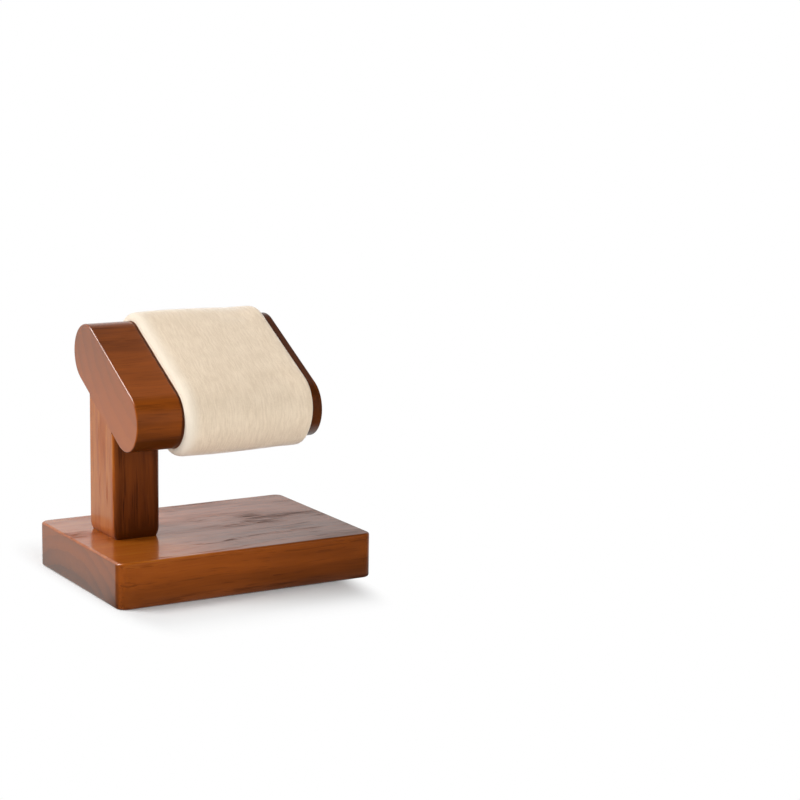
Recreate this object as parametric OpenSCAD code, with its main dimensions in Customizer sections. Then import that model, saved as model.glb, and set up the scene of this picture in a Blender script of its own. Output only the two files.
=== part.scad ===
// Watch stand: a padded roll for one watch, held at one end by a wooden post on a base board.
// The long side of the base runs along X, the watch faces -Y, and the origin is the middle of
// the base's underside.

/* [Base board] */
// Length of the base board, along the roll
base_l = 85; // [75:1:110]
// Width of the base board, front to back
base_w = 62; // [52:1:80]
// Thickness of the base board
base_t = 14; // [12:0.5:20]
// Radius of the base board's four upright corners
base_corner_r = 3; // [2:0.5:8]
// Radius of the eased edges round the base board's top and bottom
base_ease = 0.8; // [0.3:0.1:1.5]

/* [Side block and post] */
// Thickness of the side block and the post, cut from one board
side_t = 15.2; // [13:0.2:20]
// From the base's end to the flush outer faces of the side block and the post
side_inset = 10.3; // [6:0.1:14]
// Width of the post, front to back
post_w = 20; // [18:0.5:24]
// How far the post's centre line stands behind the middle of the base
post_back = 5.5; // [3:0.1:7]
// Radius of the post's upright edges
post_edge_r = 2; // [1.2:0.1:3]
// How far the post's foot draws in at the base
foot_draw = 0.8; // [0.2:0.1:1]
// Height over which the post's foot draws in
foot_h = 3; // [1.5:0.1:5]

/* [Head] */
// Height of the head's axis above the surface
head_h = 60.1; // [56:0.1:75]
// How far the head's axis lies behind the middle of the base
head_back = 2.3; // [0:0.1:4]
// Slope of the head, its back edge up
head_tilt = 29.1; // [20:0.1:34]
// Distance between the centres of the head's two round edges
head_span = 33; // [28:0.5:40]
// Radius of the head's round edges, half the thickness of the wood
head_r = 9.3; // [8.6:0.1:12]
// Radius of the eased edges of the side block and the end cap
head_ease = 0.5; // [0.2:0.1:0.8]
// Thickness of the end cap
cap_t = 5.5; // [5:0.1:9]

/* [Watch roll] */
// Length of the padded roll between the side block and the end cap
roll_l = 41.2; // [36:0.2:50]
// How far the padded roll stands proud of the wood all round
roll_proud = 2.5; // [1.5:0.1:3.5]
// Radius of the padded roll's soft ends
roll_end_r = 1.8; // [1.3:0.1:2.4]
// Thickness of the microfibre cover
cover_t = 0.7; // [0.4:0.1:1]
// Thickness of the foam under the cover
foam_t = 3; // [2:0.1:4]
// How far the cover is turned in over the ends of the core
turn_in = 3; // [2:0.1:4]

/* [Dowels] */
// Diameter of the wooden dowels
dowel_d = 5; // [4:0.1:5.4]
// Chamfer on the ends of the dowels
dowel_chamfer = 0.5; // [0.3:0.1:0.8]
// Space left at the bottom of a blind dowel hole
dowel_relief = 0.5; // [0.2:0.1:0.8]
// Distance between the two dowels of the post's joint
joint_dowel_pitch = 8; // [7:0.1:9]
// Depth of the joint's dowels in the post
joint_dowel_in_post = 7; // [6:0.1:8]
// Depth of the joint's dowels in the side block
joint_dowel_in_block = 5; // [4:0.1:5.2]
// Distance between the two dowels at each end of the roll's core
core_dowel_pitch = 18; // [14:0.5:24]
// Depth of the roll's dowels in the side block
core_dowel_in_block = 10; // [8:0.5:11]
// Depth of the roll's dowels in the end cap
core_dowel_in_cap = 3.5; // [3:0.1:3.8]
// Depth of the roll's dowels in the core
core_dowel_in_core = 12; // [8:0.5:14]

/* [Base screws] */
// Diameter of the screws' shanks
screw_d = 4; // [3:0.1:5]
// Diameter of the countersunk heads
screw_head_d = 7.6; // [7:0.1:9]
// Length of the screws
screw_l = 30; // [24:1:34]
// Length of the screws' points
screw_point = 4; // [3:0.5:6]
// How deep the heads sit below the underside of the base
screw_sink = 1; // [0.5:0.1:2]
// Clearance round the screws in the base board
screw_clearance = 0.2; // [0.1:0.05:0.4]
// Distance between the two screws, front to back
screw_pitch = 9; // [8.6:0.1:10]
// Width of the cross recess's slots
cross_w = 0.9; // [0.6:0.1:1.2]
// Length of the cross recess's slots
cross_l = 4; // [3:0.1:5]
// Depth of the cross recess
cross_depth = 1.4; // [1:0.1:2]

/* [Hidden] */
$fn = 96;
// How far a cutting solid runs past the face that it cuts
over = 1;

// Places along X
side_x = side_inset - base_l / 2;
roll_x = side_x + side_t;
cap_x = roll_x + roll_l;

// The roll's layers, from the outside in
roll_r = head_r + roll_proud;
foam_r = roll_r - cover_t;
core_r = foam_r - foam_t;
core_x = roll_x + cover_t;
core_l = roll_l - 2 * cover_t;
turn_in_r = core_r - turn_in;

// The slanted joint: the slope's coordinate of the point above the post's centre line, then the
// middle of the dowels, which are centred on the stretch that lies in the post
joint_s = (post_back - head_back - head_r * sin(head_tilt)) / cos(head_tilt);
joint_dowel_s = joint_s - joint_dowel_in_post / 2 * tan(head_tilt);

// The post is cut from a length that reaches above its slanted top
post_blank_h = head_h - base_t;
// Radius of the arc that draws the foot in, level with the post's side at its upper end
foot_arc_r = (pow(foot_h, 2) + pow(foot_draw, 2)) / (2 * foot_draw);

stained = [0.55, 0.27, 0.13];
pale_wood = [0.82, 0.68, 0.48];
cream = [0.93, 0.87, 0.76];
foam_grey = [0.75, 0.75, 0.72];
steel = [0.70, 0.71, 0.72];

// A prism along Z with upright corners of radius r. Its children are the outline of one side,
// drawn from the middle (x = 0) out to x = $reach, with Z as their y.
module rounded_prism(length, width, r) {
    for (corner = [[1, 1, 0], [-1, 1, 90], [-1, -1, 180], [1, -1, 270]])
        translate([corner[0] * (length / 2 - r), corner[1] * (width / 2 - r), 0])
            rotate([0, 0, corner[2]])
                rotate_extrude(angle = 90)
                    let ($reach = r) children();
    rotate([90, 0, 90])
        linear_extrude(length - 2 * r, center = true)
            both_sides(width / 2) children();
    if (width > 2 * r)
        rotate([90, 0, 0])
            linear_extrude(width - 2 * r, center = true)
                both_sides(length / 2) children();
}

// The outline of one side and its mirror image, each reaching out to x = reach
module both_sides(reach) {
    for (side = [0, 1])
        mirror([side, 0])
            let ($reach = reach) children();
}

// One side of a board: square, with its lower and upper edges eased to radius ease
module eased_side(height, ease) {
    square([$reach - ease, height]);
    translate([0, ease]) square([$reach, height - 2 * ease]);
    for (z = [ease, height - ease])
        translate([$reach - ease, z]) circle(r = ease);
}

// One side of the post: straight, with its foot drawn in along an arc
module footed_side(height) {
    translate([0, foot_h]) square([$reach, height - foot_h]);
    square([$reach - foot_draw, foot_h]);
    intersection() {
        translate([$reach - foot_draw, 0]) square([foot_draw, foot_h]);
        translate([$reach - foot_arc_r, foot_h]) circle(r = foot_arc_r);
    }
}

// Moves a prism along Z onto the head's axis, starting at x: its X runs up the slope to the
// back, its Y is square to the slope, and its Z runs along the roll.
module on_head(x) {
    translate([x, head_back, head_h])
        rotate([head_tilt, 0, 0])
            rotate([90, 0, 90])
                children();
}

// A bar of the head's long round-ended section, with eased ends
module head_bar(r, length, ease) {
    rounded_prism(head_span + 2 * r, 2 * r, r) eased_side(length, ease);
}

// A dowel along +Z
module dowel(length) {
    r = dowel_d / 2;
    rotate_extrude()
        polygon([[0, 0], [r - dowel_chamfer, 0], [r, dowel_chamfer], [r, length - dowel_chamfer],
                 [r - dowel_chamfer, length], [0, length]]);
}

// Puts its children at both dowels of the slanted joint, with Z into the side block
module at_joint_dowels() {
    on_head(side_x + side_t / 2)
        for (side = [-1, 1])
            translate([joint_dowel_s + side * joint_dowel_pitch / 2, -head_r, 0])
                rotate([-90, 0, 0])
                    children();
}

// Puts its children at both dowels of one end of the roll's core, with Z along the roll
module at_core_dowels(x) {
    on_head(x)
        for (side = [-1, 1])
            translate([side * core_dowel_pitch / 2, 0, 0])
                children();
}

// Puts its children at both screws, with Z up from the underside of the base
module at_screws() {
    for (side = [-1, 1])
        translate([side_x + side_t / 2, post_back + side * screw_pitch / 2, 0])
            children();
}

// A round hole from a blind end at z0 to the mouth at z1, run past the mouth
module blind_hole(d, z0, z1) {
    translate([0, 0, z0])
        cylinder(d = d, h = z1 - z0 + over);
}

// The countersunk hole that a screw passes through, its cone the seat of the screw's head
module screw_hole() {
    head = screw_head_d / 2;
    hole = screw_d / 2 + screw_clearance;
    rotate_extrude()
        polygon([[0, -over], [head + screw_clearance, -over], [head + screw_clearance, screw_sink],
                 [head, screw_sink], [hole, screw_sink + head - hole], [hole, base_t + over],
                 [0, base_t + over]]);
}

// A countersunk screw with its point up
module screw() {
    head = screw_head_d / 2;
    shank = screw_d / 2;
    difference() {
        rotate_extrude()
            polygon([[0, screw_sink], [head, screw_sink], [shank, screw_sink + head - shank],
                     [shank, screw_sink + screw_l - screw_point], [0, screw_sink + screw_l]]);
        for (turn = [0, 90])
            rotate([0, 0, turn])
                translate([-cross_l / 2, -cross_w / 2, screw_sink - over])
                    cube([cross_l, cross_w, cross_depth + over]);
    }
}

// A board with rounded corners and eased edges, with two countersunk holes under the post
module base_board() {
    color(stained)
        difference() {
            rounded_prism(base_l, base_w, base_corner_r) eased_side(base_t, base_ease);
            at_screws() screw_hole();
        }
}

// The upright, its top cut on the slant to the underside of the side block
module post() {
    color(stained)
        difference() {
            translate([side_x + side_t / 2, post_back, base_t])
                rounded_prism(side_t, post_w, post_edge_r) footed_side(post_blank_h);
            on_head(side_x - over)
                translate([-head_span - head_r, -head_r, 0])
                    cube([2 * (head_span + head_r), 2 * head_h, side_t + 2 * over]);
            at_joint_dowels()
                mirror([0, 0, 1])
                    translate([0, 0, -over])
                        cylinder(d = dowel_d, h = joint_dowel_in_post + dowel_relief + over);
            at_screws()
                translate([0, 0, base_t - over])
                    cylinder(d = screw_d, h = screw_sink + screw_l - base_t + over);
        }
}

// The block that carries the roll. Its eased edges stop where the post is glued flush to it.
module side_block() {
    color(stained)
        difference() {
            union() {
                on_head(side_x) head_bar(head_r, side_t, head_ease);
                intersection() {
                    on_head(side_x)
                        translate([-head_span / 2, -head_r, 0])
                            cube([head_span, head_r, side_t]);
                    translate([side_x, post_back - post_w / 2 + post_edge_r, base_t])
                        cube([side_t, post_w - 2 * post_edge_r, post_blank_h]);
                }
            }
            at_joint_dowels()
                translate([0, 0, -over])
                    cylinder(d = dowel_d, h = joint_dowel_in_block + dowel_relief + over);
            at_core_dowels(roll_x) blind_hole(dowel_d, -core_dowel_in_block - dowel_relief, 0);
        }
}

// The thin disc of the same outline that closes the roll's free end
module end_cap() {
    color(stained)
        difference() {
            on_head(cap_x) head_bar(head_r, cap_t, head_ease);
            at_core_dowels(cap_x)
                mirror([0, 0, 1])
                    blind_hole(dowel_d, -core_dowel_in_cap - dowel_relief, 0);
        }
}

// The bar inside the padding
module roll_core() {
    hole_l = core_dowel_in_core + dowel_relief;
    color(pale_wood)
        difference() {
            on_head(core_x)
                linear_extrude(core_l)
                    core_outline(core_r);
            at_core_dowels(core_x + core_l) blind_hole(dowel_d, -hole_l, 0);
            at_core_dowels(core_x)
                mirror([0, 0, 1])
                    blind_hole(dowel_d, -hole_l, 0);
        }
}

// The long round-ended outline at a given radius
module core_outline(r) {
    square([head_span, 2 * r], center = true);
    for (side = [-1, 1])
        translate([side * head_span / 2, 0]) circle(r = r);
}

// The foam round the core, its ends rounded inside the cover
module roll_foam() {
    color(foam_grey)
        difference() {
            on_head(core_x) head_bar(foam_r, core_l, roll_end_r - cover_t);
            on_head(core_x - over)
                linear_extrude(core_l + 2 * over)
                    core_outline(core_r);
        }
}

// The microfibre cover, turned in over the ends of the foam and the core
module roll_cover() {
    color(cream)
        difference() {
            on_head(roll_x) head_bar(roll_r, roll_l, roll_end_r);
            on_head(core_x) head_bar(foam_r, core_l, roll_end_r - cover_t);
            on_head(roll_x - over)
                linear_extrude(roll_l + 2 * over)
                    core_outline(turn_in_r);
        }
}

// The two dowels across the slanted joint
module joint_dowels() {
    color(pale_wood)
        at_joint_dowels()
            translate([0, 0, -joint_dowel_in_post])
                dowel(joint_dowel_in_post + joint_dowel_in_block);
}

// The two dowels from the side block into the core
module block_dowels() {
    color(pale_wood)
        at_core_dowels(roll_x - core_dowel_in_block)
            dowel(core_dowel_in_block + cover_t + core_dowel_in_core);
}

// The two dowels from the core into the end cap
module cap_dowels() {
    color(pale_wood)
        at_core_dowels(cap_x - cover_t - core_dowel_in_core)
            dowel(core_dowel_in_core + cover_t + core_dowel_in_cap);
}

// The two screws that hold the post to the base
module base_screws() {
    color(steel)
        at_screws() screw();
}

base_board();
post();
side_block();
end_cap();
roll_core();
roll_foam();
roll_cover();
joint_dowels();
block_dowels();
cap_dowels();
base_screws();
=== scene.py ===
import math

import bpy
import numpy as np
from mathutils import Matrix, Vector


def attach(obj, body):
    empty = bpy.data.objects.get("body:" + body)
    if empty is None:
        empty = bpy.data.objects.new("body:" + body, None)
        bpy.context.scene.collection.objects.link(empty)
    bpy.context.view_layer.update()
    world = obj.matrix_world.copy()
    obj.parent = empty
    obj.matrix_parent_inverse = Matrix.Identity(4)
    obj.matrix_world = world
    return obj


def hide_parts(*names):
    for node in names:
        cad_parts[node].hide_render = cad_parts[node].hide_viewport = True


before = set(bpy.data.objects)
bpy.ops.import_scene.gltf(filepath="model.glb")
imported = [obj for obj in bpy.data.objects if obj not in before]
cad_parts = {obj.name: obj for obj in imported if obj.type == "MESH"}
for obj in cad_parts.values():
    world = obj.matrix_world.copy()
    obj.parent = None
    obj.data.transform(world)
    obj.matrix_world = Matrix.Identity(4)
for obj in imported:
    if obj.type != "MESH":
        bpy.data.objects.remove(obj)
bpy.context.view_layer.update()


# Base board
# A rectangular hardwood board with rounded corners and softly eased edges, stained reddish brown
# under a satin lacquer. Its grain runs along its length.


class Finish:
    """One socket of a material's nodes: a number, colour or vector that varies over a surface.
    Sums and products of numbers add their Math nodes, so 1 - pores * 0.5 can be written."""

    def __init__(self, tree, socket=None):
        self.tree, self.socket = tree, socket

    def node(self, kind, sockets={}, out=0, **settings):
        """A new node of this kind. Its settings are set first, a ramp's stops among them, then its
        sockets, by name or number, to plain values or to links from other Finishes."""
        made = self.tree.nodes.new("ShaderNode" + kind)
        for name, value in settings.items():
            if name == "stops":
                stops = made.color_ramp.elements
                while len(stops) < len(value):
                    stops.new(1.0)
                for stop, (place, colour) in zip(stops, value):
                    stop.position = place
                    stop.color = (*colour, 1.0)
            else:
                setattr(made, name, value)
        for name, value in sockets.items():
            if isinstance(value, Finish):
                self.tree.links.new(value.socket, made.inputs[name])
            else:
                made.inputs[name].default_value = value
        return Finish(self.tree, made.outputs[out]) if made.outputs else None

    def number(self, operation, first, second=0.0):
        """A Math node's result for one or two numbers."""
        return self.node("Math", {0: first, 1: second}, operation=operation)

    def vector(self, operation, *others, out=0):
        """A Vector Math node's result for this vector and the others."""
        return self.node("VectorMath", dict(enumerate((self, *others))), out, operation=operation)

    def __add__(self, other):
        return self.number("ADD", self, other)

    def __sub__(self, other):
        return self.number("SUBTRACT", self, other)

    def __rsub__(self, other):
        return self.number("SUBTRACT", other, self)

    def __mul__(self, other):
        return self.number("MULTIPLY", self, other)

    def __truediv__(self, other):
        return self.number("DIVIDE", self, other)

    __radd__ = __add__
    __rmul__ = __mul__

    def part(self, axis):
        """This vector's X, Y or Z."""
        return self.node("SeparateXYZ", {"Vector": self}, axis)

    def rise(self, low, high):
        """0 where this number is below low, 1 above high, and an S-shaped rise between."""
        return self.node("MapRange", {"Value": self, "From Min": low, "From Max": high},
                         interpolation_type="SMOOTHSTEP")

    def swing(self, width):
        """This number from 0 to 1 turned into one from -width / 2 to width / 2."""
        return (self - 0.5) * width

    def stretched(self, along, across):
        """This point with its distance along the grain and across it multiplied."""
        return self.vector("MULTIPLY", (along, across, across))

    def noise(self, detail=2.0, roughness=0.5, scale=1.0, out=0):
        """Noise from 0 to 1 at this point, its blobs about 1 / scale across."""
        return self.node("TexNoise", {"Vector": self, "Scale": scale, "Detail": detail,
                                      "Roughness": roughness}, out)

    def mixed(self, first, second):
        """The first colour where this number is 0 and the second where it is 1."""
        return self.node("Mix", {0: self, 6: first, 7: second}, out=2, data_type="RGBA")


def new_finish(name):
    """An empty material, and the Finish that adds its nodes."""
    material = bpy.data.materials.new(name)
    material.use_nodes = True
    material.node_tree.nodes.clear()
    return material, Finish(material.node_tree)


MM_PER_M = 1000.0


def wood(name, grain, heart, ring, colours, tone=0.5, pores=1.0, coat=1.0, wave=9.0, soak=0.0,
         end_rings=0.0, figured=1.0, calm=(0.0, 0.0, 0.0), extra=None):
    """Wood through and through, in millimetres along and across the grain. heart is where the
    middle of the tree lies once the grain is turned to run along X. The distance from it, bent by
    slow noise of size wave and divided by a ring's width, counts the rings, and each ring darkens
    towards its outer edge. Fine noise stretched along the grain gives the fibres and streaks.
    Open pores, over which the lacquer is thin, crowd where each ring begins, and a rarer noise
    gives long vessel lines. End grain soaks up the stain evenly: its pattern is weak, it is darker
    by soak, and its rings show by end_rings. figured strengthens the whole pattern, and calm
    weakens it on the faces it points at. extra takes the place on the piece and the way it faces,
    and gives what to add to the shade. The lacquer is dull where the shade falls well below 0,
    as on the painted shade line beside the roll."""
    material, paint = new_finish(name)
    turn = Vector(grain).rotation_difference(Vector((1.0, 0.0, 0.0))).to_euler()
    place = paint.node("TexCoord", out="Object")
    facing = paint.node("TexCoord", out="Normal")
    point = paint.node("Mapping", {"Vector": place, "Rotation": turn,
                                   "Scale": (MM_PER_M, MM_PER_M, MM_PER_M),
                                   "Location": (heart[0], -heart[1], -heart[2])})
    towards = facing.vector("DOT_PRODUCT", grain, out="Value")
    end_grain = paint.number("ABSOLUTE", towards).rise(0.75, 0.97)
    side_grain = 1 - end_grain * 0.85
    drift = point.stretched(0.025, 0.05).noise(1.0, out="Color")
    wavy = drift.vector("MULTIPLY_ADD", (0.0, wave, wave), point)
    ripple = wavy.stretched(0.05, 0.30).noise()
    radius = wavy.stretched(0.0, 1.0).vector("LENGTH", out="Value")
    phase = paint.number("FRACT", (radius + ripple.swing(1.6)) / ring)
    early = 1 - phase.rise(0.05, 0.26)
    late = phase.rise(0.25, 0.93) * (1 - phase.rise(0.93, 1.0))
    figure = wavy.stretched(0.030, 0.14).noise()
    streak = wavy.stretched(0.035, 0.60).noise()
    fibre = wavy.stretched(0.09, 2.1).noise(3.0, 0.6)
    crowded = (wavy.stretched(0.10, 3.0).noise(1.0).rise(0.44, 0.58)
               * wavy.stretched(0.035, 0.10).noise(1.0).rise(0.42, 0.56) * early)
    vessel = wavy.stretched(0.060, 2.2).noise(1.0).rise(0.63, 0.70) * 0.7
    open_pore = paint.number("MAXIMUM", crowded, vessel) * side_grain * pores
    calmer = paint.number("ABSOLUTE", facing.vector("DOT_PRODUCT", calm, out="Value"))
    pattern = (figure.swing(0.46) + streak.swing(0.40) + fibre.swing(0.30) - late * 0.10
               - open_pore * 0.42) * (1 - calmer) * figured
    shade = tone + pattern * side_grain - end_grain * (soak + late * end_rings)
    if extra:
        shade = shade + extra(place, facing)
    lacquer = 1 - (1 - figure.rise(0.30, 0.55)) * (1 - end_grain) * 0.30
    lacquer = lacquer * (1 - open_pore * 0.9) * shade.rise(-0.34, -0.22) * coat
    dark, mid, light = colours
    colour = paint.node("ValToRGB", {"Fac": shade},
                        stops=[(0.0, dark), (0.6, mid), (1.0, light)])
    bump = paint.node("Bump", {"Height": fibre * 0.3 - open_pore, "Strength": 0.2,
                               "Distance": 0.00005})
    shader = paint.node("BsdfPrincipled", {
        "Base Color": colour, "Roughness": 0.45 + fibre.swing(0.12) + open_pore * 0.15,
        "Specular IOR Level": 0.1, "Coat Weight": lacquer, "Coat Roughness": 0.16,
        "Coat IOR": 1.5, "Normal": bump})
    paint.node("OutputMaterial", {"Surface": shader})
    return material


def dress(name, material):
    """Gives the material to a CAD node."""
    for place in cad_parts[name].material_slots:
        place.material = material


ALONG, UPRIGHT = (1.0, 0.0, 0.0), (0.0, 0.0, 1.0)
STAIN = ((0.080, 0.017, 0.001), (0.320, 0.070, 0.003), (0.46, 0.150, 0.014))


def board_tone_and_painted_shade(place, facing):
    """The board is darker towards the roll's free end. Its top has painted light at the post's end
    and painted shadow from its middle on, and its sides have painted shade near the table."""
    across, height = place.part("X"), place.part("Z")
    top = facing.part("Z").rise(0.3, 0.9)
    return (across.rise(-0.020, 0.030) * -0.20 + top * (0.10 - across.rise(-0.020, 0.000) * 0.17)
            - (1 - height.rise(0.000, 0.011)) * 0.30)


# The board's extra gives its tone along its length, and its painted light and painted shade.
dress("base_board", wood("base_board_wood", ALONG, (415.0, 8.0, -44.0), 4.6, STAIN, 0.60,
                         pores=0.95, wave=4.5, soak=0.25, end_rings=0.07, calm=(0.0, 0.4, 0.0),
                         extra=board_tone_and_painted_shade))


# Post
# An upright of the same stained wood, its grain running up and down. Its foot draws in a little
# where it meets the base, and its slanted top is glued to the side block.
POST_STAIN = ((0.055, 0.010, 0.0005), *STAIN[1:])


def post_painted_shade(place, facing):
    """The post's faces other than its outer one have painted shade under the head, most of all low
    down, and every face has a little painted shade at the foot."""
    height = place.part("Z")
    other_faces = facing.part("X").rise(-0.996, -0.72)
    return (other_faces * (height.rise(0.014, 0.040) * 0.16 - 0.63)
            - (1 - height.rise(0.011, 0.024)) * 0.12)


# The post's extra gives painted shade on its faces other than the outer one, and at its foot.
dress("post", wood("post_wood", UPRIGHT, (953.0, 22.0, 58.0), 3.1, POST_STAIN, 0.75, pores=0.7,
                   wave=2.5, figured=1.1, calm=(0.0, 0.42, 0.0), extra=post_painted_shade))


# Side block
# The thick round-ended block that carries the roll, cut so that its outer face is plain end grain
# and its rounded band shows fine lines running towards the roll.


def block_tone_and_painted_shade(place, facing):
    """Painted shade in the corner beside the roll, as a thin dark line of uneven width. The outer
    face pales towards its lower end, the band darkens towards both ends, and has painted shade
    underneath."""
    height = place.part("Z")
    corner_shade_line = (place.part("X") + place.noise(scale=500.0).swing(0.0008)).rise(-0.0179, -0.0173)
    face = 1 - facing.part("X").rise(-0.9, -0.3)
    ends = height.rise(0.062, 0.078) * 0.26 + (1 - height.rise(0.042, 0.066)) * 0.24
    underneath = 1 - facing.part("Z").rise(-0.9, -0.2)
    return (face * (0.13 - height.rise(0.044, 0.078) * 0.30) - corner_shade_line - ends * (1 - face)
            - underneath * 0.45)


# The block's extra gives a painted shade line beside the roll and painted shade underneath.
dress("side_block", wood("side_block_wood", ALONG, (837.0, -30.0, 96.0), 5.5, STAIN, 0.51,
                         pores=0.6, wave=3.5, end_rings=0.06, figured=0.72,
                         extra=block_tone_and_painted_shade))


# End cap
# The thin piece of the same outline that closes the roll's free end. Its grain runs up its slope.
HEAD_TILT = math.radians(29.1)
# The cap's tone of 0.06, far darker than the other pieces', is painted shade.
dress("end_cap", wood("end_cap_wood", (0.0, math.cos(HEAD_TILT), math.sin(HEAD_TILT)),
                      (140.0, 40.0, 75.0), 3.4, STAIN, 0.06, pores=0.9))


# Core and dowels
# Inside the padding, a bare softwood bar and six bare beech dowels hold the head together.
SOFTWOOD = ((0.42, 0.25, 0.12), (0.62, 0.45, 0.27), (0.74, 0.58, 0.38))
BEECH = ((0.48, 0.30, 0.16), (0.66, 0.47, 0.28), (0.76, 0.58, 0.38))
dress("roll_core", wood("core_softwood", ALONG, (20.0, 30.0, -10.0), 2.6, SOFTWOOD, coat=0.0))
for dowels, grain in (("joint_dowels", UPRIGHT), ("block_dowels", ALONG), ("cap_dowels", ALONG)):
    dress(dowels, wood(dowels + "_beech", grain, (60.0, 14.0, 50.0), 1.7, BEECH, coat=0.0))


# Base screws
# Two zinc-plated countersunk screws come up through the base into the post. The plate is a
# patchwork of small crystals.
zinc, paint = new_finish("zinc_plate")
spot = paint.node("TexCoord", out="Object")
spangle = paint.node("TexVoronoi", {"Vector": spot, "Scale": 1400.0}, "Color")
patch = spot.noise(3.0, scale=600.0)
plate = patch.mixed((0.52, 0.53, 0.55, 1.0), (0.72, 0.71, 0.69, 1.0))
scuff = paint.node("Bump", {"Height": patch, "Strength": 0.2, "Distance": 0.00005})
crystal = paint.node("SeparateColor", {"Color": spangle})
metal = paint.node("BsdfPrincipled", {"Base Color": plate, "Metallic": 1.0,
                                      "Roughness": 0.28 + crystal * 0.14, "Normal": scuff})
paint.node("OutputMaterial", {"Surface": metal})
dress("base_screws", zinc)


# Foam
# A soft grey foam sleeve between the core and the cover, with a fine open-cell face.
foam, paint = new_finish("open_cell_foam")
spot = paint.node("TexCoord", out="Object")
cell = paint.node("TexVoronoi", {"Vector": spot, "Scale": 1500.0}, "Distance")
cloud = spot.noise(scale=120.0)
grey = (cell * 0.8 + cloud * 0.4).mixed((0.42, 0.42, 0.40, 1.0), (0.62, 0.62, 0.59, 1.0))
pits = paint.node("Bump", {"Height": cell, "Strength": 0.6, "Distance": 0.0003})
skin = paint.node("BsdfPrincipled", {"Base Color": grey, "Roughness": 0.95,
                                     "Specular IOR Level": 0.2, "Normal": pits})
paint.node("OutputMaterial", {"Surface": skin})
dress("roll_foam", foam)


# Roll cover
# Cream microfibre wrapped round the foam, its ends turned in between the wood and the core. It
# is drawn tight, so the padding crowns a little and swells over the edges of the wood.
HEAD_BACK, HEAD_HIGH = 0.0023, 0.0601  # the middle of the section
HALF_SPAN = 0.0165  # half of each straight side
WOOD_R, ROLL_R = 0.0093, 0.0119  # the rounding of the wood and of the roll
ROLL_FROM, ROLL_TO = -0.0170, 0.0242  # the faces of the block and of the cap
TURNED_IN_R = 0.0051  # where the turned-in edges end
CREASE, TUCK = 0.00005, 0.0002  # how near the cloth comes to those faces and to WOOD_R
BLOCK_END_LENGTH, BLOCK_END_DROP = 0.0024, 0.0015  # the quarter ellipse at the block
SWELL_FROM, SWELL_LENGTH = 0.0150, 0.0092  # where the swelling over the cap begins and grows
CAP_SWELL, TOP_SWELL = 0.0010, 0.0009  # how far it goes, and how much further on top
CROWN, CROWN_RISE = 0.0003, 0.0010  # its height, and how far out from WOOD_R it begins
TAPER, TAPER_RISE = 0.00042, 0.0020  # its depth, and over how far out from WOOD_R it grows
TAPER_FROM, TAPER_LENGTH = -0.0040, 0.0220
LIP_BACK, LIP_FROM, LIP_LENGTH = 0.6, 0.0180, 0.0050  # the share of the taper that comes back
COVER_THICK = 0.0006
GIRTH_STEPS, PROFILE_STEPS = 112, 64  # the mesh's points round the roll and along its profile
INWARD_POINTS, TURN_POINTS, STRAIGHT_POINTS, LIP_POINTS = 6, 10, 48, 17


def ramp(value, start, length):
    """0 up to the start, then evenly up to 1 over the length."""
    return np.clip((value - start) / length, 0, 1)


def roll_profile(share):
    """Place along the roll, radius and amount of swelling, for a share of the way from the
    turned-in edge at the block to that at the cap. The block's end runs straight out and turns
    in a quarter ellipse. The length is crowned as one arch of a cosine, and slims evenly towards
    the cap, where its lip comes partly back. The cap's end turns in a half circle that swells
    over the cap's edge, most where the swelling is 1. The stretches are drawn with points of
    their own, and the shares then read them by length."""
    lip = (ROLL_R - WOOD_R - TUCK) / 2
    turn = np.linspace(0.0, np.pi / 2, TURN_POINTS)
    block_x = ROLL_FROM + CREASE + BLOCK_END_LENGTH * (1 - np.cos(turn))
    block_r = ROLL_R - BLOCK_END_DROP * (1 - np.sin(turn))
    half_turn = np.linspace(np.pi / 2, -np.pi / 2, LIP_POINTS)
    cap_x = ROLL_TO - CREASE - lip + lip * np.cos(half_turn)
    cap_r = ROLL_R - lip + lip * np.sin(half_turn)
    straight = np.linspace(block_x[-1], cap_x[0], STRAIGHT_POINTS)[1:-1]
    x = np.concatenate([np.full(INWARD_POINTS, block_x[0]), block_x[1:], straight, cap_x,
                        np.full(INWARD_POINTS, ROLL_TO - CREASE)])
    r = np.concatenate([np.linspace(TURNED_IN_R, block_r[0], INWARD_POINTS), block_r[1:],
                        np.full(len(straight), ROLL_R), cap_r,
                        np.linspace(cap_r[-1], TURNED_IN_R, INWARD_POINTS + 1)[1:]])
    run = np.concatenate([[0.0], np.cumsum(np.hypot(np.diff(x), np.diff(r)))])
    x = np.interp(share * run[-1], run, x)
    r = np.interp(share * run[-1], run, r)
    arch = np.cos((x - (ROLL_FROM + ROLL_TO) / 2) / (ROLL_TO - ROLL_FROM) * np.pi).clip(0)
    swelling = ramp(r, WOOD_R, 2 * lip) * ramp(x, SWELL_FROM, SWELL_LENGTH) ** 2
    slimmer = TAPER * ramp(x, TAPER_FROM, TAPER_LENGTH) * ramp(r, WOOD_R, TAPER_RISE)
    slimmer = slimmer * (1 - LIP_BACK * ramp(x, LIP_FROM, LIP_LENGTH))
    return (x, r - slimmer + CROWN * arch * (r > WOOD_R + CROWN_RISE),
            np.sin(swelling * np.pi / 2))


def round_ended(share):
    """The long round-ended outline, for a share of the way round it: the point of its middle line
    and the direction out from it. Two straight sides join two half circles."""
    straight, bend = 2 * HALF_SPAN, np.pi * ROLL_R
    way = (share % 1.0) * 2 * (straight + bend)
    leg = np.interp(way, [0, straight, straight + bend, 2 * straight + bend,
                          2 * (straight + bend)], [0, 1, 2, 3, 4])
    middle = np.interp(leg, [0, 1, 2, 3, 4], [-HALF_SPAN, HALF_SPAN, HALF_SPAN, -HALF_SPAN,
                                              -HALF_SPAN])
    angle = np.interp(leg, [0, 1, 2, 3, 4], [0, 0, np.pi, np.pi, 2 * np.pi])
    return middle, np.sin(angle), np.cos(angle)


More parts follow.
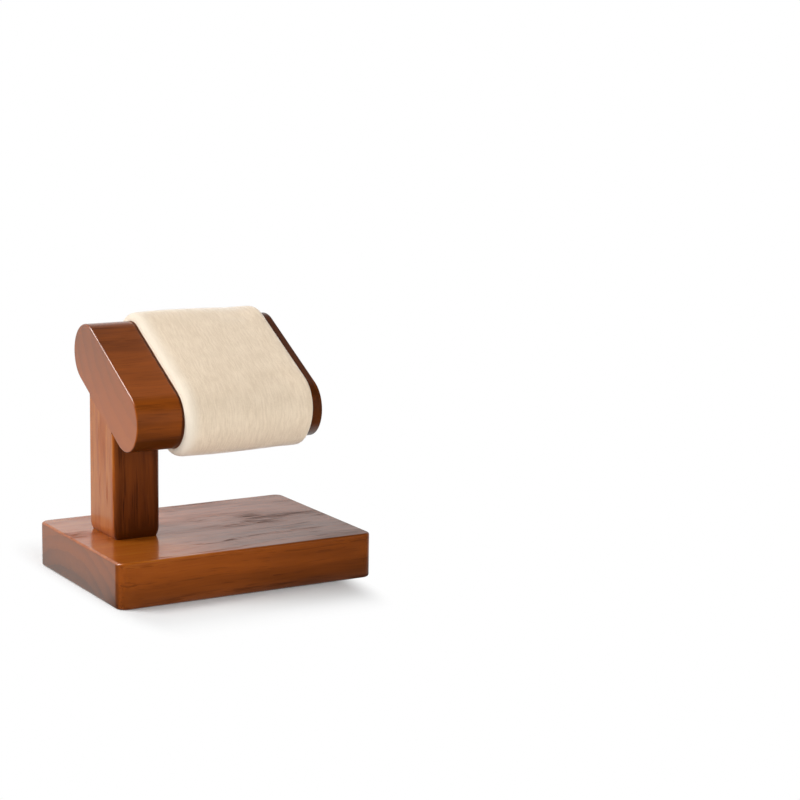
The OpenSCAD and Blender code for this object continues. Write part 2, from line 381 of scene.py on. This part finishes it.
def on_head(x, along, up):
    """A point of the tilted head: x, then the distance up its slope and square to it."""
    back = HEAD_BACK + along * math.cos(HEAD_TILT) - up * math.sin(HEAD_TILT)
    high = HEAD_HIGH + along * math.sin(HEAD_TILT) + up * math.cos(HEAD_TILT)
    return np.stack(np.broadcast_arrays(x, back, high), axis=-1)


def grid_mesh(name, points):
    """A mesh from a grid of points, closed round its first direction, with its faces outwards."""
    rows, columns = points.shape[:2]
    row = np.arange(rows)[:, None]
    column = np.arange(columns - 1)[None, :]
    after = (row + 1) % rows
    corners = np.stack(np.broadcast_arrays(row * columns + column, row * columns + column + 1,
                                           after * columns + column + 1,
                                           after * columns + column), axis=-1)
    made = bpy.data.meshes.new(name)
    made.from_pydata(points.reshape(-1, 3).tolist(), [], corners.reshape(-1, 4).tolist())
    layer = made.uv_layers.new(name="girth")
    round_it = np.stack(np.broadcast_arrays(row, row, row + 1, row + 1), axis=-1) / rows
    along_it = np.stack(np.broadcast_arrays(column, column + 1, column + 1, column),
                        axis=-1) / (columns - 1)
    both = np.stack(np.broadcast_arrays(round_it, along_it), axis=-1)
    layer.data.foreach_set("uv", both.astype(np.float32).ravel())
    made.polygons.foreach_set("use_smooth", np.ones(len(made.polygons), bool))
    made.update()
    return made


def coordinates(mesh):
    """The mesh's points as an array."""
    points = np.empty(len(mesh.vertices) * 3)
    mesh.vertices.foreach_get("co", points)
    return points.reshape(-1, 3)


round_share = np.arange(GIRTH_STEPS)[:, None] / GIRTH_STEPS
profile_x, profile_r, swelling = roll_profile(np.linspace(0.0, 1.0, PROFILE_STEPS))
middle, out_along, out_up = round_ended(round_share)
roll_x = profile_x + swelling * (CAP_SWELL + TOP_SWELL * out_up.clip(0))
surface = on_head(roll_x, middle + out_along * profile_r, out_up * profile_r)
cover = bpy.data.objects.new("cover", grid_mesh("cover", surface))
bpy.context.scene.collection.objects.link(cover)

# The cloth swells under pressure while its turned-in ends are held. Every move is damped, so that
# none passes MOST_MOVE.
CLOTH_STEPS, MOST_MOVE = 20, 0.0006
before = coordinates(cover.data)
held = cover.vertex_groups.new(name="held")
free_r = np.broadcast_to(profile_r, (GIRTH_STEPS, PROFILE_STEPS)).ravel()
held.add(np.flatnonzero(free_r < WOOD_R + TUCK).tolist(), 1.0, "REPLACE")
cloth = cover.modifiers.new("cloth", "CLOTH")
fabric = cloth.settings
fabric.quality = 6
fabric.mass = 0.15
fabric.tension_stiffness = fabric.compression_stiffness = 12.0
fabric.shear_stiffness = 6.0
fabric.bending_stiffness = 0.4
fabric.use_pressure = True
fabric.uniform_pressure_force = 4.0
fabric.vertex_group_mass = "held"
fabric.effector_weights.gravity = 0.0
cloth.collision_settings.use_collision = False
cloth.point_cache.frame_start, cloth.point_cache.frame_end = 1, CLOTH_STEPS
for step in range(1, CLOTH_STEPS + 1):
    bpy.context.scene.frame_set(step)
shown = cover.evaluated_get(bpy.context.evaluated_depsgraph_get())
move = coordinates(shown.data) - before
bpy.context.scene.frame_set(1)
cover.modifiers.remove(cloth)
cover.vertex_groups.clear()
far = np.linalg.norm(move, axis=1, keepdims=True)
before += move * MOST_MOVE / (MOST_MOVE + far)
cover.data.vertices.foreach_set("co", before.ravel())
cover.data.update()

thick = cover.modifiers.new("thickness", "SOLIDIFY")
thick.thickness = COVER_THICK
thick.offset = -1.0
smooth = cover.modifiers.new("smooth", "SUBSURF")
smooth.levels = smooth.render_levels = 1

# Cream microfibre: a short brushed nap with faint lines round the girth and soft cloudy patches.
# Round the corner at the block the cream is painted paler, more so below, as painted light, and
# the turned-in end is painted dark up to the wood's edge, as a thin line of painted shade.
WHITE = (1.0, 1.0, 1.0, 1.0)
PAINTED_LIGHT_LENGTH = 0.0050
SHADE_LINE_FROM, SHADE_LINE_TO = 0.0782, 0.0812  # shares of the way from edge to edge
suede, paint = new_finish("cream_microfibre")
spot = paint.node("TexCoord", out="Object")
wrap = paint.node("TexCoord", out="UV")
cloud = spot.noise(3.0, 0.6, 160.0)
nap = spot.noise(3.0, 0.7, 2600.0)
bend = spot.noise(scale=260.0, out="Color")
bent = bend.vector("MULTIPLY_ADD", (0.0, 2.0, 0.0), wrap.vector("MULTIPLY", (32.0, 90.0, 0.0)))
lines = bent.noise(2.0, 0.6)
brushed = cloud * 0.22 + lines * 0.50 + nap * 0.28
cream = brushed.rise(0.33, 0.67).mixed((0.760, 0.608, 0.448, 1.0), (0.895, 0.742, 0.567, 1.0))
# Painted light: the cream is paler round the corner at the block, more so below.
painted_light_at_block = ((1 - spot.part("X").rise(ROLL_FROM, ROLL_FROM + PAINTED_LIGHT_LENGTH))
          * (1 - spot.part("Z").rise(0.044, 0.064) * 0.25))
cream = painted_light_at_block.mixed(cream, (0.91, 0.812, 0.675, 1.0))
# Painted shade: the turned-in end against the block is dark up to the wood's edge.
cloth_shade_line = 1 - (wrap.part("Y") + cloud.swing(0.008)).rise(SHADE_LINE_FROM, SHADE_LINE_TO)
cream = cloth_shade_line.mixed(cream, (0.25, 0.065, 0.010, 1.0))
fuzz = paint.node("Bump", {"Height": nap * 0.6 + lines * 0.9 + cloud * 0.5,
                           "Strength": 0.7, "Distance": 0.0002})
cloth_shader = paint.node("BsdfPrincipled", {
    "Base Color": cream, "Roughness": 0.92 + nap.swing(0.1), "Specular IOR Level": 0.15,
    "Sheen Weight": 1.0, "Sheen Roughness": 0.30, "Sheen Tint": WHITE,
    "Normal": fuzz})
paint.node("OutputMaterial", {"Surface": cloth_shader})
cover.data.materials.append(suede)
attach(cover, "root")
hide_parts("roll_cover")


# Floor
# The plain white table that the stand is photographed on. It keeps the stand's shadow near the
# stand and reads as white further out, counted from the edges of a square under the stand and
# three times as fast along X. The lacquer mirrors it brighter towards the back right.
FLOOR_HALF = 4.0
SQUARE_HALF, SQUARE_SHIFT = 0.0310, 0.0045
corners = [(across * FLOOR_HALF, back * FLOOR_HALF, 0.0)
           for across, back in ((-1, -1), (1, -1), (1, 1), (-1, 1))]
floor_mesh = bpy.data.meshes.new("floor")
floor_mesh.from_pydata(corners, [], [(0, 1, 2, 3)])
floor = bpy.data.objects.new("floor", floor_mesh)
bpy.context.scene.collection.objects.link(floor)
table, paint = new_finish("white_table")
spot = paint.node("TexCoord", out="Object")
beyond = spot.vector("ADD", (SQUARE_SHIFT, 0.0, 0.0)).vector("ABSOLUTE")
beyond = beyond.vector("SUBTRACT", (SQUARE_HALF, SQUARE_HALF, 0.0))
beyond = beyond.vector("MAXIMUM", (0.0, 0.0, 0.0))
reach = beyond.vector("MULTIPLY", (3.0, 1.0, 1.0)).vector("LENGTH", out="Value")
camera_ray = paint.node("LightPath", out="Is Camera Ray")
glossy_ray = paint.node("LightPath", out="Is Glossy Ray")
depth, sideways = spot.part("Y"), spot.part("X")
bright_side = depth.rise(-0.045, -0.015) * (depth + sideways * 1.2).rise(-0.090, -0.065)
lit = paint.node("BsdfDiffuse", {"Color": (0.872, 0.885, 0.890, 1.0)})
white = paint.node("Emission", {"Color": WHITE, "Strength": 1.0})
seen = paint.node("MixShader", {0: reach.rise(0.008, 0.036), 1: lit, 2: white})
mirrored = paint.node("Emission", {"Color": (0.96, 1.0, 0.97, 1.0),
                                   "Strength": 0.02 + bright_side * 0.68})
unseen = paint.node("MixShader", {0: glossy_ray, 1: lit, 2: mirrored})
shown_floor = paint.node("MixShader", {0: camera_ray, 1: unseen, 2: seen})
paint.node("OutputMaterial", {"Surface": shown_floor})
floor_mesh.materials.append(table)


# Room light
# White where the camera sees it and dimmer where it only lights the stand. In the lacquer it is
# darker on the camera's side, overhead and to the right, with a bright patch round the one lamp
# that the lacquer mirrors.
LAMP_PLACE = (-0.55, 0.33, 0.76)
STAND_MIDDLE = (0.0, 0.0, 0.04)
room = bpy.data.worlds.new("room")
room.use_nodes = True
room.node_tree.nodes.clear()
paint = Finish(room.node_tree)
facing = paint.node("TexCoord", out="Generated")
camera_ray = paint.node("LightPath", out="Is Camera Ray")
glossy_ray = paint.node("LightPath", out="Is Glossy Ray")
clear_ray = paint.node("LightPath", out="Is Transmission Ray")
lamp_side = facing.vector("DOT_PRODUCT", Vector(LAMP_PLACE).normalized(), out="Value")
mirror_level = ((0.05 + facing.part("Y").rise(-0.3, 0.6) * 0.86)
                * (1 - facing.part("Z").rise(0.3, 0.8) * 0.75)
                * (1 - facing.part("X").rise(0.34, 0.52) * 0.34)
                + lamp_side.rise(0.86, 0.95) * 5)
plain = camera_ray + clear_ray
level = plain + glossy_ray * mirror_level + (1 - plain - glossy_ray) * 0.25
sky = paint.node("Background", {"Color": WHITE, "Strength": level})
paint.node("OutputWorld", {"Surface": sky})
bpy.context.scene.world = room


def softbox(name, place, size, power, mirrored=False):
    """A square lamp that faces the middle of the stand."""
    lamp = bpy.data.lights.new(name, "AREA")
    lamp.shape = "SQUARE"
    lamp.size = size
    lamp.energy = power
    box = bpy.data.objects.new(name, lamp)
    bpy.context.scene.collection.objects.link(box)
    box.location = place
    aim = np.subtract(STAND_MIDDLE, place)
    flat = math.hypot(aim[0], aim[1])
    box.rotation_euler = (math.atan2(flat, -aim[2]), 0.0, math.atan2(aim[1], aim[0]) - math.pi / 2)
    box.visible_glossy = mirrored


softbox("back_left_softbox", LAMP_PLACE, 0.45, 5.7, mirrored=True)
softbox("left_softbox", (-0.95, -0.15, 0.30), 0.70, 4.3)
softbox("right_softbox", (0.95, 0.10, 0.40), 0.70, 1.5)
softbox("low_back_softbox", (0.10, 0.95, 0.35), 0.70, 4.0)
softbox("front_softbox", (0.35, -0.90, 0.35), 0.70, 4.2)


# Camera
# The photograph's camera: its turn round the stand, its height and its lean in degrees, its
# distance in metres and its focal length in pixels, then the pixel of an 800-pixel frame in
# which the middle of the base's underside is seen.
TURN, RISE, LEAN = np.radians([-31.118, 10.245, 0.932])
DISTANCE, FOCAL = 0.67454, 2158.15
FOOT_PIXEL = (204.755, 570.251)
FRAME_PIXELS, SENSOR_WIDTH = 800.0, 36.0
back = np.array([math.sin(TURN) * math.cos(RISE), -math.cos(TURN) * math.cos(RISE),
                 math.sin(RISE)])
level_right = np.array([math.cos(TURN), math.sin(TURN), 0.0])
level_up = np.cross(back, level_right)
right = level_right * math.cos(LEAN) + level_up * math.sin(LEAN)
up = level_up * math.cos(LEAN) - level_right * math.sin(LEAN)
across = (FOOT_PIXEL[0] - FRAME_PIXELS / 2) / FOCAL * DISTANCE
above = (FRAME_PIXELS / 2 - FOOT_PIXEL[1]) / FOCAL * DISTANCE
eye = DISTANCE * back - across * right - above * up
lens = bpy.data.cameras.new("camera")
lens.sensor_width = SENSOR_WIDTH
lens.lens = FOCAL * SENSOR_WIDTH / FRAME_PIXELS
lens.clip_start, lens.clip_end = 0.05, 20.0
camera = bpy.data.objects.new("camera", lens)
bpy.context.scene.collection.objects.link(camera)
pose = np.eye(4)
pose[:3, 0], pose[:3, 1], pose[:3, 2], pose[:3, 3] = right, up, back, eye
camera.matrix_world = Matrix(pose.tolist())
bpy.context.scene.camera = camera
bpy.context.scene.view_settings.view_transform = "Standard"
